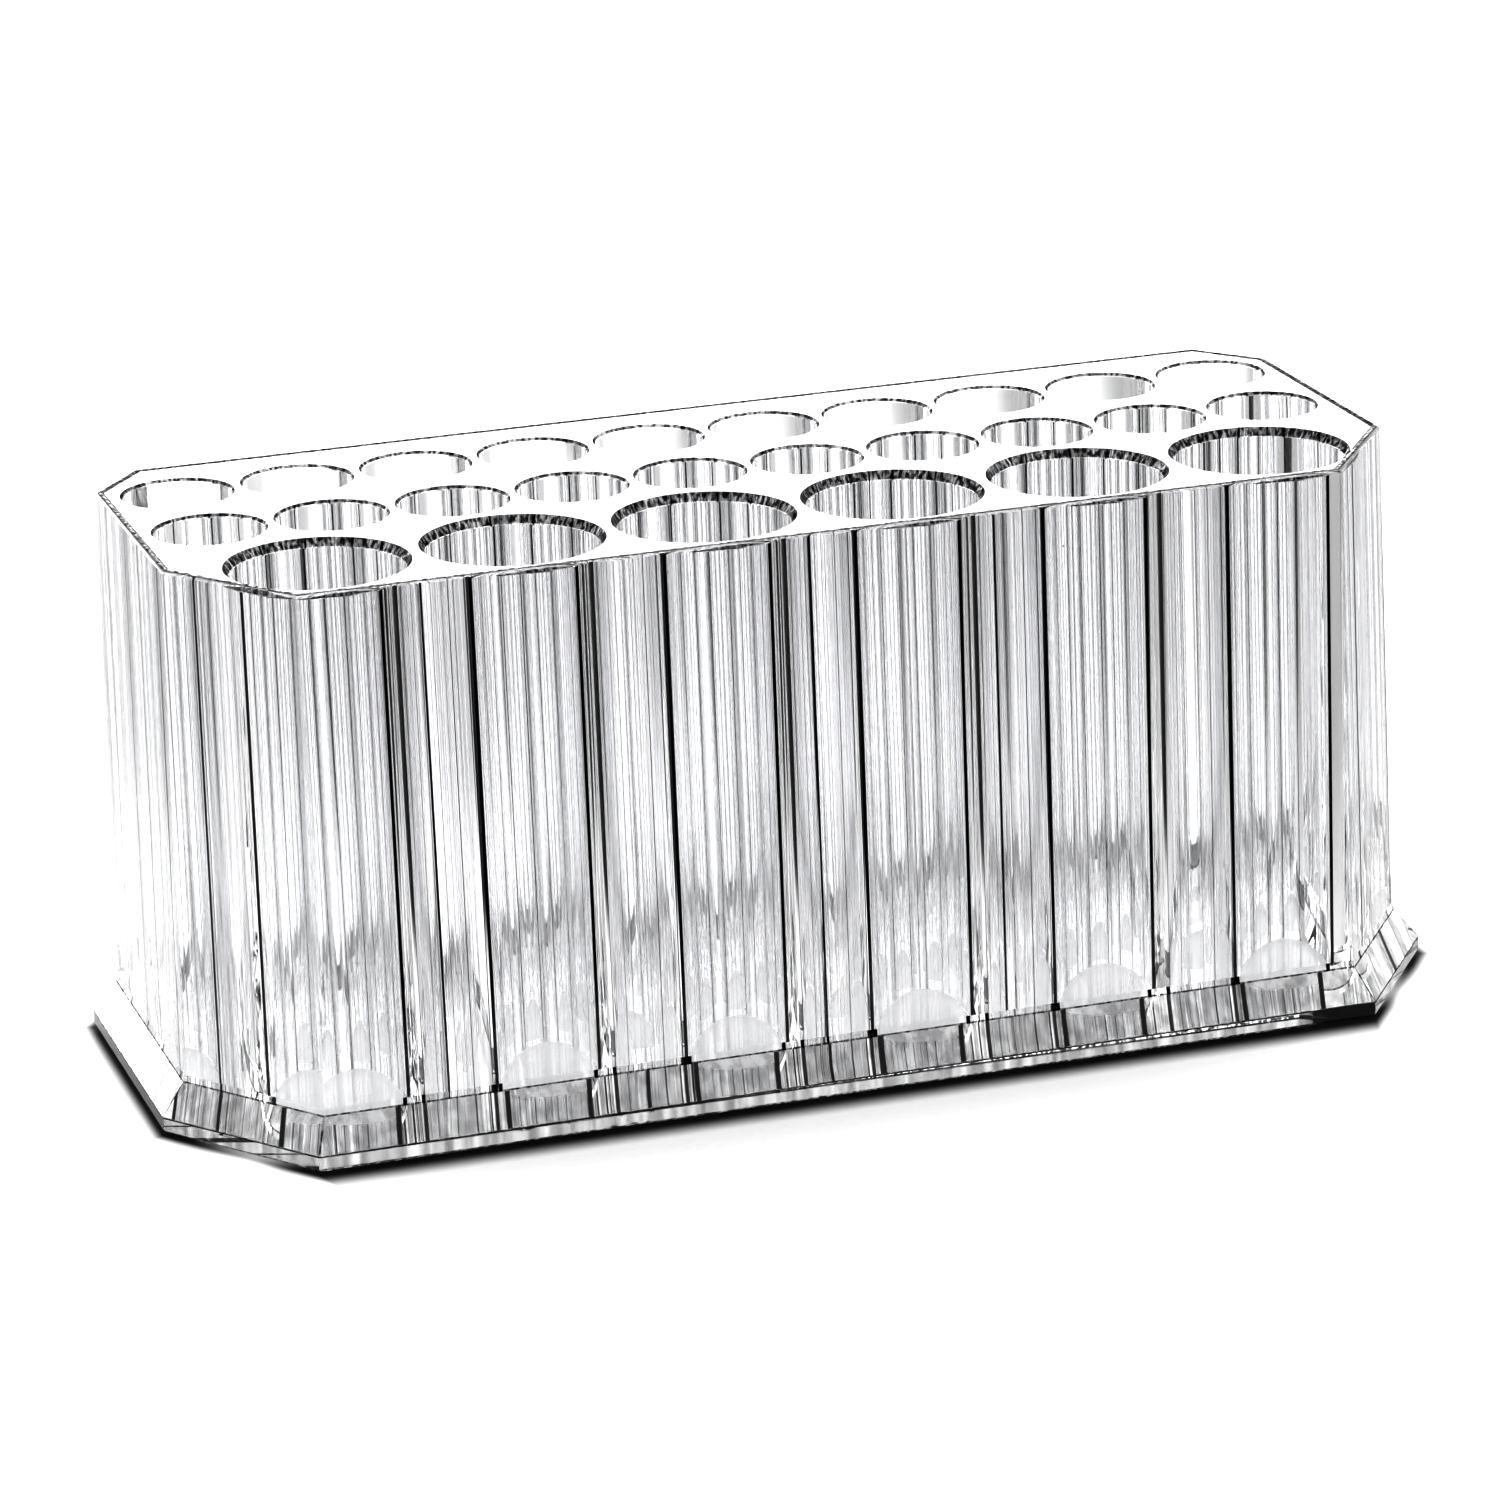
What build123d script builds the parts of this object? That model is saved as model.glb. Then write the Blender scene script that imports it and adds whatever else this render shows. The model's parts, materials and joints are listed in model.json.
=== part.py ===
from build123d import *
import math
import os

# A clear moulded rack that stands brushes and other slim round things upright. A solid block with a
# flared foot has 26 round bores right through it, and a flat plate bonded underneath closes them.
# Millimetres. +Z is up, +X along the rows, and -Y is the side with the large bores.
# The origin is the middle of the underside.

# Outline of the foot: a rectangle with its corners cut off, more at the front than at the back
FOOT_LENGTH = 220.0
FOOT_DEPTH = 96.6
FRONT_CUT_X, FRONT_CUT_Y = 19.4, 26.8
BACK_CUT_X, BACK_CUT_Y = 12.2, 15.6

# Heights: the plate, the foot's bevel, the narrow facet at the root of the wall, and the whole rack
PLATE_THICKNESS = 2.6
BEVEL_TOP = 7.7
ROOT_TOP = 8.9
RACK_HEIGHT = 93.4

# How far the outline shrinks up the bevel, up the facet and up the wall
FOOT_OVERHANG = 3.9
ROOT_INSET = 0.41
WALL_DRAFT = 1.69
TOP_RIM_RADIUS = 0.6

# Bores: one row of large ones at the front, two rows of small ones behind
LARGE_COUNT, SMALL_COUNT = 6, 10
LARGE_PITCH, SMALL_PITCH = 32.0, 20.3
LARGE_RADIUS, SMALL_RADIUS = 14.1, 9.05
LARGE_ROW_Y = -25.2
MIDDLE_ROW_Y, BACK_ROW_Y = 1.3, 25.0

# Lead-in at each bore's mouth: its width on the top face and its depth down the bore
LARGE_LEAD_IN = (0.9, 1.4)
SMALL_LEAD_IN = (0.4, 0.5)

os.makedirs("parts", exist_ok=True)


def taper_angle(rise, shrink):
    """Degrees that a face leans when the outline shrinks by that much over that height."""
    return math.degrees(math.atan2(shrink, rise))


# Foot outline: eight-sided and symmetric left to right, shared by both pieces
right, front = FOOT_LENGTH / 2, FOOT_DEPTH / 2
with BuildSketch() as foot_outline:
    with BuildLine():
        half = Polyline(
            (0, -front),
            (right - FRONT_CUT_X, -front),
            (right, FRONT_CUT_Y - front),
            (right, front - BACK_CUT_Y),
            (right - BACK_CUT_X, front),
            (0, front),
        )
        mirror(half, about=Plane.YZ)
    make_face()


# Rack body: bevelled foot, drafted wall with an eased root and a softened top rim, and the bores
with BuildPart() as rack_body:
    with BuildSketch(Plane.XY.offset(PLATE_THICKNESS)):
        add(foot_outline.sketch)
    bevel_rise = BEVEL_TOP - PLATE_THICKNESS
    extrude(amount=bevel_rise, taper=taper_angle(bevel_rise, FOOT_OVERHANG))
    for rise, shrink in ((ROOT_TOP - BEVEL_TOP, ROOT_INSET), (RACK_HEIGHT - ROOT_TOP, WALL_DRAFT)):
        top_face = rack_body.faces().sort_by(Axis.Z)[-1]
        extrude(top_face, amount=rise, taper=taper_angle(rise, shrink))
    fillet(rack_body.faces().sort_by(Axis.Z)[-1].edges(), radius=TOP_RIM_RADIUS)

    with Locations((0, LARGE_ROW_Y, RACK_HEIGHT)):
        with GridLocations(LARGE_PITCH, 0, LARGE_COUNT, 1):
            Hole(LARGE_RADIUS)
    for row_y in (MIDDLE_ROW_Y, BACK_ROW_Y):
        with Locations((0, row_y, RACK_HEIGHT)):
            with GridLocations(SMALL_PITCH, 0, SMALL_COUNT, 1):
                Hole(SMALL_RADIUS)

    for radius, (width, depth) in ((LARGE_RADIUS, LARGE_LEAD_IN), (SMALL_RADIUS, SMALL_LEAD_IN)):
        top_face = rack_body.faces().sort_by(Axis.Z)[-1]
        mouths = top_face.edges().filter_by(GeomType.CIRCLE).filter_by(
            lambda edge: math.isclose(edge.radius, radius, abs_tol=0.01)
        )
        chamfer(mouths, length=width, length2=depth, reference=top_face)
rack_body.part.label = "rack_body"
export_step(rack_body.part, "parts/rack_body.step")


# Base plate: flat sheet with the foot's outline, which is the floor of every bore
with BuildPart() as base_plate:
    with BuildSketch():
        add(foot_outline.sketch)
    extrude(amount=PLATE_THICKNESS)
base_plate.part.label = "base_plate"
export_step(base_plate.part, "parts/base_plate.step")
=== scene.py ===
import json
import math

import bmesh
import bpy
from mathutils import Matrix, Vector


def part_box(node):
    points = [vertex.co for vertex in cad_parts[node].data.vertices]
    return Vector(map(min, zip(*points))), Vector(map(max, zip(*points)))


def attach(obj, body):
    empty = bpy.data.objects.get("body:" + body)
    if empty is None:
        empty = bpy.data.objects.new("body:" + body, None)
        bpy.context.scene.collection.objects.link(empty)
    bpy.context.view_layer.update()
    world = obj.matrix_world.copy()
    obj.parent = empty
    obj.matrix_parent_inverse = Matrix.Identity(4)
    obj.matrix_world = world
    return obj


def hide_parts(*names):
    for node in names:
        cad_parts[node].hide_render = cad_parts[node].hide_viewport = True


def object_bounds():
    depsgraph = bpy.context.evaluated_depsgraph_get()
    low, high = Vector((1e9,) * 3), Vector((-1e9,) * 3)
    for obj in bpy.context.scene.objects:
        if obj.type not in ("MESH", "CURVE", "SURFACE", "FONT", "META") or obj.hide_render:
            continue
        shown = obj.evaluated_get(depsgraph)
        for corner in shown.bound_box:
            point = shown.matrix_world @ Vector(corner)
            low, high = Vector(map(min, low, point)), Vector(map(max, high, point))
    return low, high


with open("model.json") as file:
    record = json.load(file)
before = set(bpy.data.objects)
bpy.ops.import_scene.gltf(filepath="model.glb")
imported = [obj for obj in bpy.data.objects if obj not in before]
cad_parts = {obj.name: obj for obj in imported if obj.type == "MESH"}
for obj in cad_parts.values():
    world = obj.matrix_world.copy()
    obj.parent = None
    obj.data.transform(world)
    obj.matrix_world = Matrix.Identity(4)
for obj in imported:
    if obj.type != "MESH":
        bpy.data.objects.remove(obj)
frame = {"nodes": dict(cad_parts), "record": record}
cad_low, cad_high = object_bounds()

MM = 0.001

# Shape of the rack, as in the CAD model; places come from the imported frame
FOOT_OVERHANG = 3.9 * MM
ROOT_INSET = 0.41 * MM
WALL_DRAFT = 1.69 * MM
BEVEL_TOP = 7.7 * MM
ROOT_TOP = 8.9 * MM
TOP_RIM_RADIUS = 0.6 * MM
BORE_RADIUS = {"large": 14.1 * MM, "middle": 9.05 * MM, "back": 9.05 * MM}
LEAD_IN = {"large": (0.9 * MM, 1.4 * MM), "middle": (0.4 * MM, 0.5 * MM), "back": (0.4 * MM, 0.5 * MM)}

# Small shapes that only the visual model has
CORNER_RADIUS = 0.35 * MM
CORNER_STEPS = 4
RIM_STEPS = 8
EDGE_RISE = 0.1 * MM
EDGE_RISE_WIDTH = 0.8 * MM
EDGE_RISE_STEPS = 5
BORE_SEGMENTS = 192
LEAD_IN_ROUND = 0.12 * MM
CREASE_WIDTH = 0.25 * MM
BOND_GAP = 0.04 * MM
EDGE_BREAK = 0.12 * MM
REST_BREAK = 0.4 * MM
SHARP_EDGE = math.radians(17)

# The surfaces of a piece, as indices of its materials
FACE, EDGE, SIDE, BORE = range(4)

# Clear plastic: what it is made of, and the smudges that dull its polish
PLASTIC_IOR = 1.58
PLASTIC_TINT = (0.989, 0.99, 0.994)
SMUDGE_SCALE, SMUDGE_DETAIL, SMUDGE_EDGE = 60, 4, (0.45, 0.75)
SMUDGE_ROUGHNESS = 0.03

# Fine marks in each surface: strength of the bump, and marks per metre
MARK_DEPTH = 0.01 * MM
UPRIGHT = (1, 1, 0)
UPRIGHT_ALONG_ROWS = (1, 0.1, 0)
FACE_MARKS = (0.02, 250)
BORE_MARKS = (0.04, 1500)
EDGE_MARKS = (0.3, 1500)
BEVEL_MARKS = (0.1, 900)
SHEET_MARKS = (0.02, 600)
SAWN_MARKS = (0.1, 1500)

# Light lost at a surface. Where an edge is given, the loss comes in between its two values.
# Painted shade: a bore wall met from inside close to the critical angle is painted black, which draws
# the dark upright lines beside each bore. Its angles are Layer Weight's Facing, 1 - cos(angle).
PAINTED_SHADE_STARTS, PAINTED_SHADE_ENDS = (0.208, 0.214), (0.236, 0.242)
DUST_SPACING, DUST_SIZE, DUST_SHARE, DUST_LOSS = 9 * MM, 0.16 * MM, 0.5, 0.8
# Painted shade on edges: how dark they are painted, in fine streaks
STREAK_SCALE, STREAK_EDGE, STREAK_PAINTED_SHADE = 1400, (0.4, 0.6), (0.45, 0.95)
SAWN_STRETCH, SAWN_SCALE, SAWN_DETAIL = (1, 1, 0.1), 500, 3
SAWN_EDGE, SAWN_LOSS = (0.35, 0.65), (0.1, 0.4)
BOND_STARTS, BOND_ENDS = (1.7 * MM, 2.3 * MM), (2.45 * MM, 2.5 * MM)
BLOTCH_STRETCH, BLOTCH_SCALE, BLOTCH_DETAIL = (1, 1, 1.5), 420, 4
BLOTCH_EDGE = (0.6, 0.68)

# Camera: the photograph's viewing angle
CAMERA_PLACE = (-0.28964, -0.93877, 0.36167)
CAMERA_LOOK = (0.278785, 0.909834, -0.307378)
CAMERA_ROLL = -2.084
CAMERA_LENS = 147.8
CAMERA_CLIP = (0.05, 20)

# Studio: a white tent with a brighter back wall and roof, open and dark on the side the photograph
# was taken from. An edge is where the light starts and ends along a direction.
TENT_LIGHT = 1.1
OPEN_SIDE, OPEN_SIDE_EDGE = (-0.29, -0.94, 0.15), (0.55, 0.75)
BACK_WALL_LIGHT, BACK_WALL_SIDES, BACK_WALL_TOP = 4.0, (0.75, 0.9), (0.17, 0.34)
ROOF_LIGHT, ROOF_RIM = 1.5, (0.8, 0.9)

# Paper on the floor, in metres from the middle of the rack. To the right and left it is shaded, with
# edges that slant along the camera's line of sight.
FLOOR_REACH = 6
FLOOR_DROP = 0.5 * MM
FLOOR_ROUGHNESS = 0.6
FIBRE_SCALE, FIBRE_DETAIL, FIBRE_EDGE, FIBRE_WHITE = 700, 4, (0.3, 0.7), (0.93, 0.95)
# Painted shade: as seen through the plastic, the paper is painted dark in front of the rack
PAPER_FRONT_SHADE_EDGE = (-0.13, -0.09)
PAPER_SLANT = -0.3
PAPER_RIGHT_SHADE, PAPER_RIGHT_EDGE = 0.4, (0.02, 0.24)
PAPER_LEFT_SHADE, PAPER_LEFT_EDGE = 0.5, (-0.22, -0.12)
# A painted contact shadow round the rack's foot, and a painted glow under the rack
CONTACT_REACH = 6.5 * MM
CONTACT_TIGHTER = 3
UNDER_GLOW, UNDER_GLOW_EDGE = 0.5, (12 * MM, 3 * MM)

# Tone: the photograph is bright and has strong contrast
EXPOSURE = 0.3
GAMMA = 0.54


# ---------------------------------------------------------------- camera
def make_camera():
    data = bpy.data.cameras.new("camera")
    data.lens = CAMERA_LENS
    data.sensor_width = 36
    data.clip_start, data.clip_end = CAMERA_CLIP
    camera = bpy.data.objects.new("camera", data)
    bpy.context.scene.collection.objects.link(camera)
    back = -Vector(CAMERA_LOOK).normalized()
    right = Vector((0, 0, 1)).cross(back).normalized()
    up = back.cross(right)
    roll = math.radians(CAMERA_ROLL)
    right, up = (
        math.cos(roll) * right + math.sin(roll) * up,
        math.cos(roll) * up - math.sin(roll) * right,
    )
    turn = Matrix((right, up, back)).transposed().to_4x4()
    camera.matrix_world = Matrix.Translation(CAMERA_PLACE) @ turn
    bpy.context.scene.camera = camera


# ---------------------------------------------------------------- geometry helpers
def foot_outline():
    """The foot's corner points, counter-clockwise from above, read from the plate's CAD mesh."""
    low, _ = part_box("base_plate")
    corners = {
        (round(v.co.x, 6), round(v.co.y, 6))
        for v in frame["nodes"]["base_plate"].data.vertices
        if abs(v.co.z - low.z) < 1e-6
    }
    return [Vector(c) for c in sorted(corners, key=lambda c: math.atan2(c[1], c[0]))]


def inset(points, distance):
    """A convex outline with every side moved inwards by the same distance."""
    moved = []
    for before, here, after in zip(points[-1:] + points[:-1], points, points[1:] + points[:1]):
        into, out = (here - before).normalized(), (after - here).normalized()
        normal_in, normal_out = Vector((-into.y, into.x)), Vector((-out.y, out.x))
        moved.append(here + (normal_in + normal_out) * distance / (1 + normal_in.dot(normal_out)))
    return moved


def rounded(points, radius):
    """The outline with each corner replaced by a short arc."""
    result = []
    for before, here, after in zip(points[-1:] + points[:-1], points, points[1:] + points[:1]):
        into, out = (here - before).normalized(), (after - here).normalized()
        half_turn = into.angle(out) / 2
        reach = radius * math.tan(half_turn)
        centre = here - into * reach + Vector((-into.y, into.x)) * radius
        start = here - into * reach - centre
        for k in range(CORNER_STEPS + 1):
            spin = Matrix.Rotation(2 * half_turn * k / CORNER_STEPS, 2)
            result.append(centre + spin @ start)
    return result


def ring(bm, points, height):
    return [bm.verts.new((p.x, p.y, height)) for p in points]


def outline_ring(bm, outline, across, height):
    """The outline moved inwards by across, with its corners softened, at one height."""
    return ring(bm, rounded(inset(outline, across), CORNER_RADIUS), height)


def band(bm, lower, upper, surface, creased=False):
    """Quads between two rings of the same length. Where it is creased, the narrow quads round the
    outline's corners are edges."""
    for here in range(len(lower)):
        after = (here + 1) % len(lower)
        face = bm.faces.new((lower[here], lower[after], upper[after], upper[here]))
        face.smooth = True
        at_corner = here % (CORNER_STEPS + 1) < CORNER_STEPS
        face.material_index = EDGE if creased and at_corner else surface


def fill(bm, rings, up):
    """A flat face inside the first ring, with the other rings as holes."""
    edges = [bm.edges.get((r[i - 1], r[i])) for r in rings for i in range(len(r))]
    made = bmesh.ops.triangle_fill(bm, use_beauty=True, edges=edges, normal=(0, 0, 1 if up else -1))
    for face in made["geom"]:
        if isinstance(face, bmesh.types.BMFace):
            face.smooth = False
            if (face.normal.z > 0) != up:
                face.normal_flip()


def sharpen(bm, angle):
    for edge in bm.edges:
        edge.smooth = len(edge.link_faces) == 2 and edge.calc_face_angle(0) < angle


def finish_piece(bm, name, node, materials):
    """Turns the mesh into a piece that rides on the rack and stands for its CAD node."""
    bmesh.ops.recalc_face_normals(bm, faces=bm.faces)
    sharpen(bm, SHARP_EDGE)
    mesh = bpy.data.meshes.new(name)
    bm.to_mesh(mesh)
    bm.free()
    for material in materials:
        mesh.materials.append(material)
    piece = bpy.data.objects.new(name, mesh)
    bpy.context.scene.collection.objects.link(piece)
    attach(piece, "root")
    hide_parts(node)
    return piece


# ---------------------------------------------------------------- pieces
def bores():
    """(row, centre x, centre y) of every bore, from the openings in the record."""
    for opening in frame["record"]["physics"]["openings"]:
        (x0, y0, _), (x1, y1, _) = opening["box_m"]
        yield opening["name"].split("_")[0], (x0 + x1) / 2, (y0 + y1) / 2


def bore_ring(centre, radius):
    """Points round a bore, clockwise from above."""
    turns = [-2 * math.pi * k / BORE_SEGMENTS for k in range(BORE_SEGMENTS)]
    return [centre + Vector((math.cos(turn), math.sin(turn))) * radius for turn in turns]


def make_body(*materials):
    low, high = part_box("rack_body")
    foot = foot_outline()
    wall_foot = FOOT_OVERHANG + ROOT_INSET
    wall_top = wall_foot + WALL_DRAFT
    crease_top = FOOT_OVERHANG + CREASE_WIDTH * ROOT_INSET / (ROOT_TOP - BEVEL_TOP)
    lean = WALL_DRAFT / (high.z - ROOT_TOP)
    flat = high.z - EDGE_RISE
    bm = bmesh.new()

    # From the bond line up the bevel, the facet and the wall, over the rim and onto the top: how far
    # in from the foot's outline, the height, and the surface below that height
    profile = [
        (EDGE_BREAK, low.z, FACE),
        (0, low.z + EDGE_BREAK, EDGE),
        (FOOT_OVERHANG, BEVEL_TOP, SIDE),
        (crease_top, BEVEL_TOP + CREASE_WIDTH, EDGE),
        (wall_foot, ROOT_TOP, FACE),
    ]
    for k in range(RIM_STEPS + 1):
        turn = math.pi / 2 * k / RIM_STEPS
        drop = TOP_RIM_RADIUS * (1 - math.sin(turn))
        across = wall_top + TOP_RIM_RADIUS * (1 - math.cos(turn)) - lean * drop
        profile.append((across, high.z - drop, FACE if k < RIM_STEPS - 1 else EDGE))
    for k in range(1, EDGE_RISE_STEPS + 1):
        share = k / EDGE_RISE_STEPS
        across = wall_top + TOP_RIM_RADIUS + EDGE_RISE_WIDTH * share
        profile.append((across, flat + EDGE_RISE * (1 + math.cos(math.pi * share)) / 2, EDGE))
    rings = [outline_ring(bm, foot, across, height) for across, height, _ in profile]
    for lower, upper, (_, height, surface) in zip(rings, rings[1:], profile[1:]):
        band(bm, lower, upper, surface, creased=height < ROOT_TOP)

    tops, bottoms = [rings[-1]], [rings[0]]
    for row, x, y in bores():
        radius, (width, depth) = BORE_RADIUS[row], LEAD_IN[row]
        steps = [
            (radius, low.z, BORE),
            (radius, flat - depth - LEAD_IN_ROUND, BORE),
            (radius + LEAD_IN_ROUND * width / depth, flat - depth + LEAD_IN_ROUND / 2, BORE),
            (radius + width, flat, EDGE),
        ]
        wells = [ring(bm, bore_ring(Vector((x, y)), r), height) for r, height, _ in steps]
        for lower, upper, (_, _, surface) in zip(wells, wells[1:], steps[1:]):
            band(bm, lower, upper, surface)
        tops.append(wells[-1])
        bottoms.append(wells[0])
    fill(bm, tops, up=True)
    fill(bm, bottoms, up=False)
    return finish_piece(bm, "moulded_rack_body", "rack_body", materials)


def make_plate(*materials):
    low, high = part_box("base_plate")
    foot = foot_outline()
    bm = bmesh.new()
    profile = [
        (REST_BREAK, low.z, FACE),
        (0, low.z + REST_BREAK, EDGE),
        (0, high.z - BOND_GAP - EDGE_BREAK, SIDE),
        (EDGE_BREAK, high.z - BOND_GAP, EDGE),
    ]
    rings = [outline_ring(bm, foot, across, height) for across, height, _ in profile]
    for lower, upper, (_, _, surface) in zip(rings, rings[1:], profile[1:]):
        band(bm, lower, upper, surface)
    fill(bm, [rings[0]], up=False)
    fill(bm, [rings[-1]], up=True)
    return finish_piece(bm, "bonded_base_plate", "base_plate", materials)


# ---------------------------------------------------------------- materials
class Shading:
    """Short calls for the nodes of one material or world."""

    def __init__(self, tree):
        self.nodes, self.links = tree.nodes, tree.links

    def add(self, kind, **settings):
        node = self.nodes.new(kind)
        for name, value in settings.items():
            setattr(node, name, value)
        return node

    def put(self, socket, value):
        if isinstance(value, bpy.types.NodeSocket):
            self.links.new(value, socket)
        else:
            socket.default_value = value

    def maths(self, operation, *values):
        node = self.add("ShaderNodeMath", operation=operation)
        for socket, value in zip(node.inputs, values):
            self.put(socket, value)
        return node.outputs[0]

    def ramp(self, value, start, end, low=0.0, high=1.0):
        """low before start, high after end, and smooth between."""
        node = self.add("ShaderNodeMapRange", interpolation_type="SMOOTHSTEP")
        self.put(node.inputs["Value"], value)
        for name, number in (("From Min", start), ("From Max", end), ("To Min", low), ("To Max", high)):
            self.put(node.inputs[name], number)
        return node.outputs["Result"]

    def place(self, stretch=(1, 1, 1), output="Object"):
        coordinates = self.add("ShaderNodeTexCoord").outputs[output]
        mapping = self.add("ShaderNodeMapping")
        mapping.inputs["Scale"].default_value = stretch
        self.put(mapping.inputs["Vector"], coordinates)
        return mapping.outputs["Vector"]

    def noise(self, place, scale, detail=2.0):
        node = self.add("ShaderNodeTexNoise")
        self.put(node.inputs["Vector"], place)
        self.put(node.inputs["Scale"], scale)
        self.put(node.inputs["Detail"], detail)
        return node.outputs["Fac"]


def clear_plastic(name, marks, loss, along=UPRIGHT):
    """Clear polished plastic with fine marks, and faint smudges that dull its polish. loss gives the
    share of the passing light that a spot takes away."""
    strength, scale = marks
    material = bpy.data.materials.new(name)
    material.use_nodes = True
    shading = Shading(material.node_tree)
    shader = shading.nodes["Principled BSDF"]
    smudges = shading.noise(shading.place(), SMUDGE_SCALE, SMUDGE_DETAIL)
    shading.put(shader.inputs["Roughness"], shading.ramp(smudges, *SMUDGE_EDGE, 0, SMUDGE_ROUGHNESS))
    shader.inputs["IOR"].default_value = PLASTIC_IOR
    shader.inputs["Transmission Weight"].default_value = 1.0
    kept = shading.maths("POWER", shading.maths("SUBTRACT", 1, loss(shading)), 2)
    tint = shading.add("ShaderNodeVectorMath", operation="SCALE")
    tint.inputs[0].default_value = PLASTIC_TINT
    shading.put(tint.inputs["Scale"], kept)
    shading.put(shader.inputs["Base Color"], tint.outputs[0])
    bump = shading.add("ShaderNodeBump")
    bump.inputs["Strength"].default_value = strength
    bump.inputs["Distance"].default_value = MARK_DEPTH
    shading.put(bump.inputs["Height"], shading.noise(shading.place(along), scale))
    shading.put(shader.inputs["Normal"], bump.outputs["Normal"])
    return material


def mix_painted_black(material, loss):
    """Paints that share of the surface black, reflected light too: painted shade."""
    shading = Shading(material.node_tree)
    stopped = shading.add("ShaderNodeBsdfDiffuse")
    stopped.inputs["Color"].default_value = (0, 0, 0, 1)
    mix = shading.add("ShaderNodeMixShader")
    shading.put(mix.inputs[0], loss(shading))
    shading.put(mix.inputs[1], shading.nodes["Principled BSDF"].outputs[0])
    shading.put(mix.inputs[2], stopped.outputs[0])
    shading.put(shading.nodes["Material Output"].inputs["Surface"], mix.outputs[0])
    return material


def dust_loss(shading):
    """Small round specks, such as dust and pits, at random places."""
    cells = shading.add("ShaderNodeTexVoronoi")
    shading.put(cells.inputs["Vector"], shading.place())
    shading.put(cells.inputs["Scale"], 1 / DUST_SPACING)
    split = shading.add("ShaderNodeSeparateColor")
    shading.put(split.inputs[0], cells.outputs["Color"])
    chosen = shading.maths("LESS_THAN", split.outputs[0], DUST_SHARE)
    size = DUST_SIZE / DUST_SPACING
    inside = shading.ramp(cells.outputs["Distance"], size / 2, size, 1, 0)
    return shading.maths("MULTIPLY", shading.maths("MULTIPLY", chosen, inside), DUST_LOSS)


def bore_painted_shade(shading):
    """Painted shade: black near the critical angle, and only where a bore wall is met from inside the
    plastic.
    """
    facing = shading.add("ShaderNodeLayerWeight").outputs["Facing"]
    near = shading.ramp(facing, *PAINTED_SHADE_STARTS)
    near = shading.maths("MULTIPLY", near, shading.ramp(facing, *PAINTED_SHADE_ENDS, 1, 0))
    inside = shading.add("ShaderNodeNewGeometry").outputs["Backfacing"]
    return shading.maths("MULTIPLY", near, inside)


def edge_painted_shade(shading):
    """Painted shade: edges are painted dark, with fine light streaks."""
    streaks = shading.noise(shading.place(UPRIGHT), STREAK_SCALE)
    return shading.ramp(streaks, *STREAK_EDGE, *STREAK_PAINTED_SHADE)


def bond_loss(shading):
    """Small blemishes and bubbles along the top of the plate, where it is bonded to the body."""
    height = shading.add("ShaderNodeSeparateXYZ")
    shading.put(height.inputs[0], shading.place())
    near = shading.ramp(height.outputs["Z"], *BOND_STARTS)
    near = shading.maths("MULTIPLY", near, shading.ramp(height.outputs["Z"], *BOND_ENDS, 1, 0))
    blotches = shading.noise(shading.place(BLOTCH_STRETCH), BLOTCH_SCALE, BLOTCH_DETAIL)
    blotches = shading.maths("MULTIPLY", near, shading.ramp(blotches, *BLOTCH_EDGE))
    return shading.maths("MAXIMUM", blotches, dust_loss(shading))


def side_loss(shading):
    """The bevel's moulding and the plate's sawn side are a little greyed by upright marks."""
    marks = shading.noise(shading.place(SAWN_STRETCH), SAWN_SCALE, SAWN_DETAIL)
    marks = shading.ramp(marks, *SAWN_EDGE, *SAWN_LOSS)
    return shading.maths("MAXIMUM", marks, bond_loss(shading))


# ---------------------------------------------------------------- stage
def contact_shade(shading):
    """0 where the rack touches the paper, up to 1 away from it. The light comes from behind, so the
    shade reaches furthest in front."""
    outline = foot_outline()
    furthest = -1.0
    for a, b in zip(outline, outline[1:] + outline[:1]):
        outward = Vector((b.y - a.y, a.x - b.x, 0)).normalized()
        tighter = 1 if outward.y < -0.99 else CONTACT_TIGHTER
        away = shading.add("ShaderNodeVectorMath", operation="DOT_PRODUCT")
        shading.put(away.inputs[0], shading.place())
        away.inputs[1].default_value = outward * tighter
        past = shading.maths("SUBTRACT", away.outputs["Value"], outward.xy.dot(a) * tighter)
        furthest = shading.maths("MAXIMUM", past, furthest)
    return shading.ramp(furthest, 0, CONTACT_REACH)


def paper_white_and_painted_shade(shading, across, depth):
    """How white the paper is, with painted shade. To the camera it is white everywhere but for a
    painted contact shadow where the rack touches it. As seen through the plastic it has painted shade
    at the sides, and it is painted dark in front of the rack, where the tent is open."""
    slanted = shading.maths("MULTIPLY_ADD", depth, PAPER_SLANT, across)
    right = shading.ramp(slanted, *PAPER_RIGHT_EDGE, 1, PAPER_RIGHT_SHADE)
    left = shading.ramp(slanted, *PAPER_LEFT_EDGE, PAPER_LEFT_SHADE, 1)
    sides = shading.maths("MULTIPLY", right, left)
    through = shading.maths("MULTIPLY", sides, shading.ramp(depth, *PAPER_FRONT_SHADE_EDGE))
    seen = shading.add("ShaderNodeLightPath").outputs["Is Camera Ray"]
    unseen = shading.maths("SUBTRACT", 1, seen)
    shown = shading.maths("MULTIPLY", contact_shade(shading), seen)
    fibres = shading.noise(shading.place(), FIBRE_SCALE, FIBRE_DETAIL)
    fibres = shading.ramp(fibres, *FIBRE_EDGE, *FIBRE_WHITE)
    return shading.maths("MULTIPLY", shading.maths("MULTIPLY_ADD", through, unseen, shown), fibres)


def under_glow(shading, across, depth):
    """A faint glow under the rack, for the light that its clear body lets through to the paper."""
    glow = UNDER_GLOW
    starts, ends = UNDER_GLOW_EDGE
    for place, half in ((across, cad_high.x), (depth, cad_high.y)):
        away = shading.maths("ABSOLUTE", place)
        glow = shading.maths("MULTIPLY", glow, shading.ramp(away, half - starts, half - ends, 1, 0))
    return glow


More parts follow.
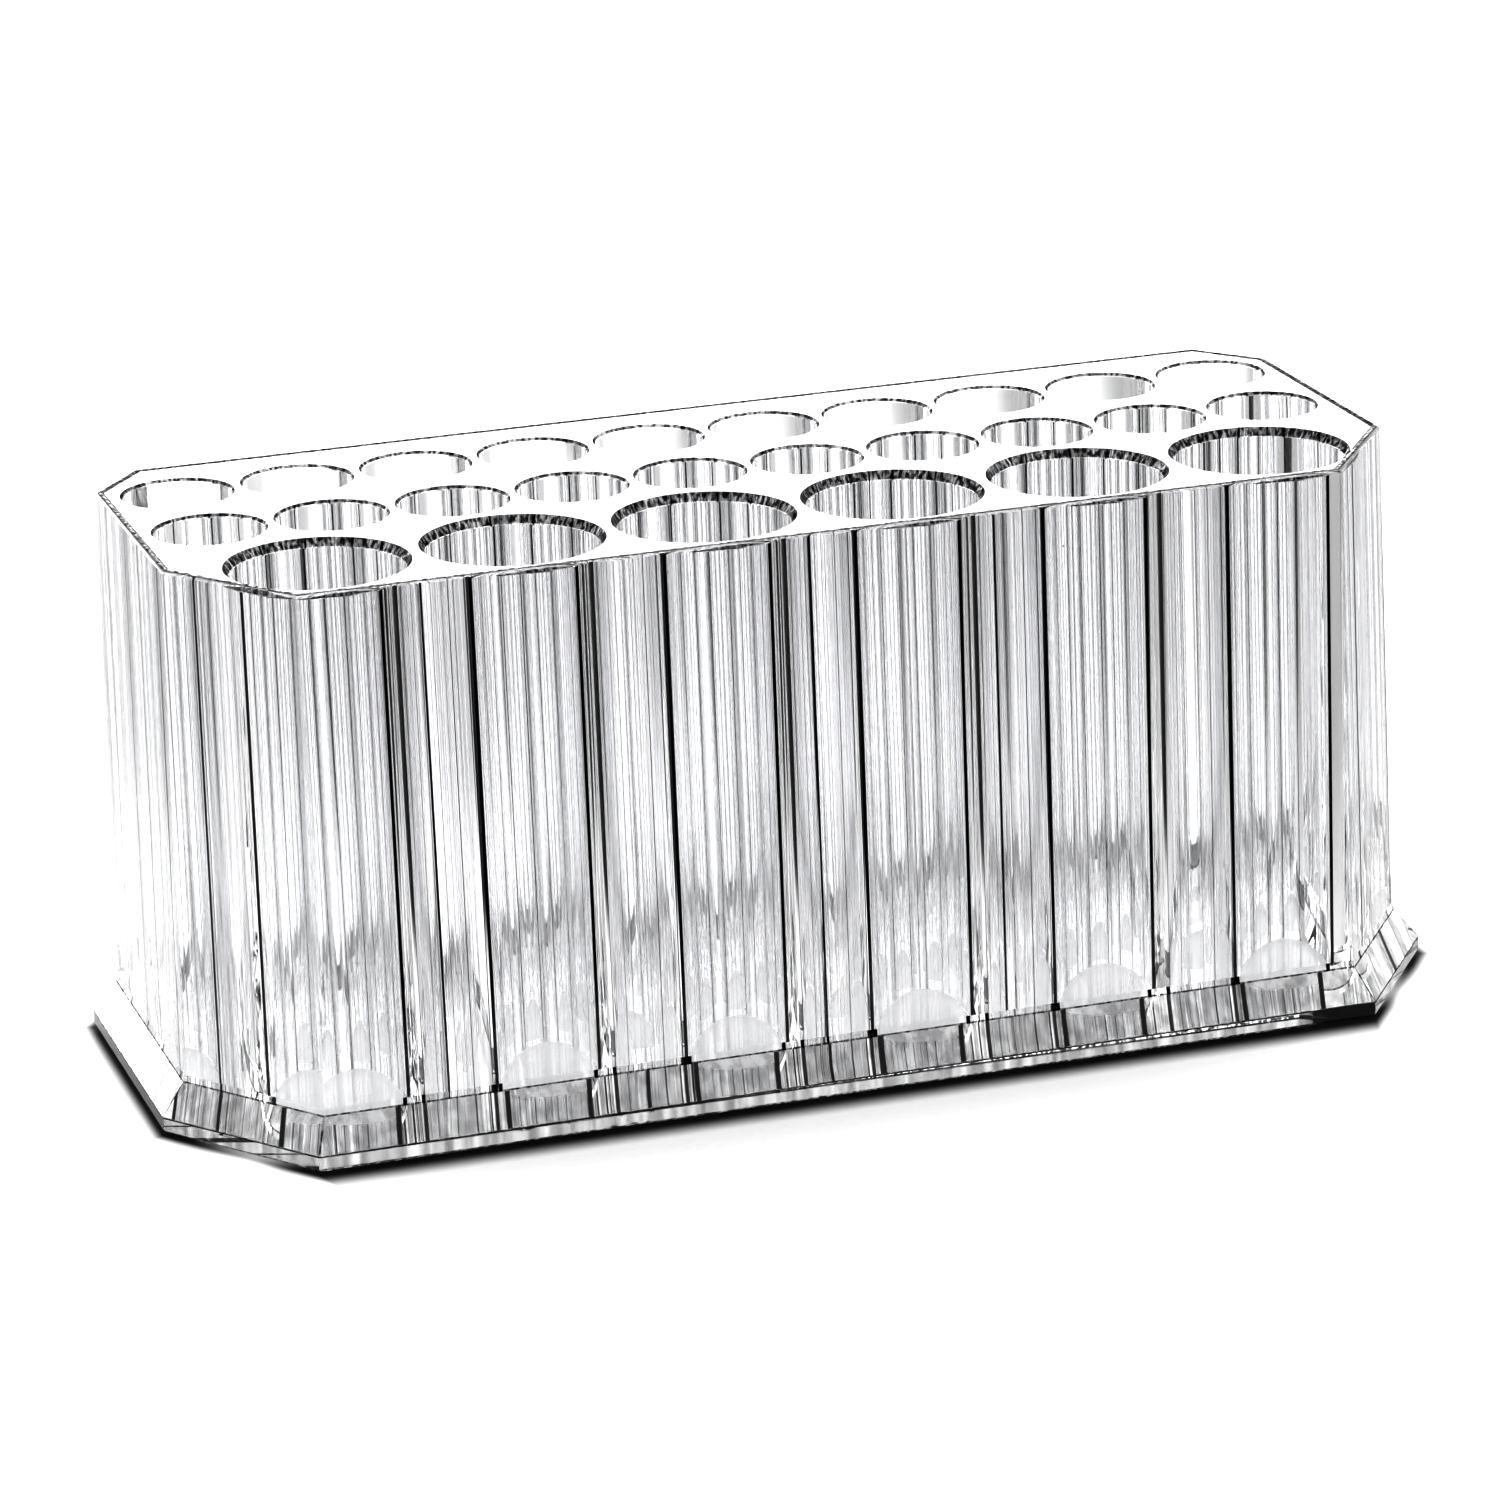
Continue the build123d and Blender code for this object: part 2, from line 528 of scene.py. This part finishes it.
def make_floor():
    corners = [(x * FLOOR_REACH, y * FLOOR_REACH, 0) for x, y in ((-1, -1), (1, -1), (1, 1), (-1, 1))]
    mesh = bpy.data.meshes.new("floor")
    mesh.from_pydata(corners, [], [(0, 1, 2, 3)])
    floor = bpy.data.objects.new("floor", mesh)
    bpy.context.scene.collection.objects.link(floor)
    floor.location.z = cad_low.z - FLOOR_DROP
    material = bpy.data.materials.new("floor_paper")
    material.use_nodes = True
    shading = Shading(material.node_tree)
    shader = shading.nodes["Principled BSDF"]
    shader.inputs["Roughness"].default_value = FLOOR_ROUGHNESS
    split = shading.add("ShaderNodeSeparateXYZ")
    shading.put(split.inputs[0], shading.place())
    across, depth = split.outputs["X"], split.outputs["Y"]
    shading.put(shader.inputs["Base Color"], paper_white_and_painted_shade(shading, across, depth))
    shader.inputs["Emission Color"].default_value = (1, 1, 1, 1)
    shading.put(shader.inputs["Emission Strength"], under_glow(shading, across, depth))
    mesh.materials.append(material)


def make_world():
    world = bpy.data.worlds.new("studio")
    bpy.context.scene.world = world
    world.use_nodes = True
    shading = Shading(world.node_tree)
    way = shading.place(output="Generated")
    split = shading.add("ShaderNodeSeparateXYZ")
    shading.put(split.inputs[0], way)
    towards = shading.add("ShaderNodeVectorMath", operation="DOT_PRODUCT")
    shading.put(towards.inputs[0], way)
    towards.inputs[1].default_value = OPEN_SIDE
    tent = shading.ramp(towards.outputs["Value"], *OPEN_SIDE_EDGE, TENT_LIGHT, 0)
    behind = shading.ramp(split.outputs["Y"], *BACK_WALL_SIDES, 0, BACK_WALL_LIGHT)
    behind = shading.maths("MULTIPLY", behind, shading.ramp(split.outputs["Z"], *BACK_WALL_TOP, 1, 0))
    roof = shading.ramp(split.outputs["Z"], *ROOF_RIM, 0, ROOF_LIGHT)
    total = shading.maths("ADD", shading.maths("ADD", tent, behind), roof)
    seen = shading.add("ShaderNodeLightPath").outputs["Is Camera Ray"]
    background = shading.nodes["Background"]
    background.inputs["Color"].default_value = (1, 1, 1, 1)
    shading.put(background.inputs["Strength"], shading.maths("MAXIMUM", total, seen))


def set_up_render():
    scene = bpy.context.scene
    scene.view_settings.view_transform = "Standard"
    scene.view_settings.exposure = EXPOSURE
    scene.view_settings.gamma = GAMMA
    scene.cycles.max_bounces = 32
    scene.cycles.transmission_bounces = 32
    scene.cycles.glossy_bounces = 12
    scene.cycles.transparent_max_bounces = 16


make_camera()
make_body(
    clear_plastic("clear_moulded_plastic", FACE_MARKS, dust_loss, UPRIGHT_ALONG_ROWS),
    mix_painted_black(clear_plastic("clear_moulded_edge_painted_shade", EDGE_MARKS, dust_loss), edge_painted_shade),
    clear_plastic("clear_moulded_bevel", BEVEL_MARKS, side_loss),
    mix_painted_black(clear_plastic("clear_drawn_bore_painted_shade", BORE_MARKS, dust_loss), bore_painted_shade),
)
make_plate(
    clear_plastic("clear_sheet_plastic", SHEET_MARKS, bond_loss),
    mix_painted_black(clear_plastic("clear_cut_edge_painted_shade", EDGE_MARKS, dust_loss), edge_painted_shade),
    clear_plastic("clear_sawn_side", SAWN_MARKS, side_loss),
)
make_floor()
make_world()
set_up_render()
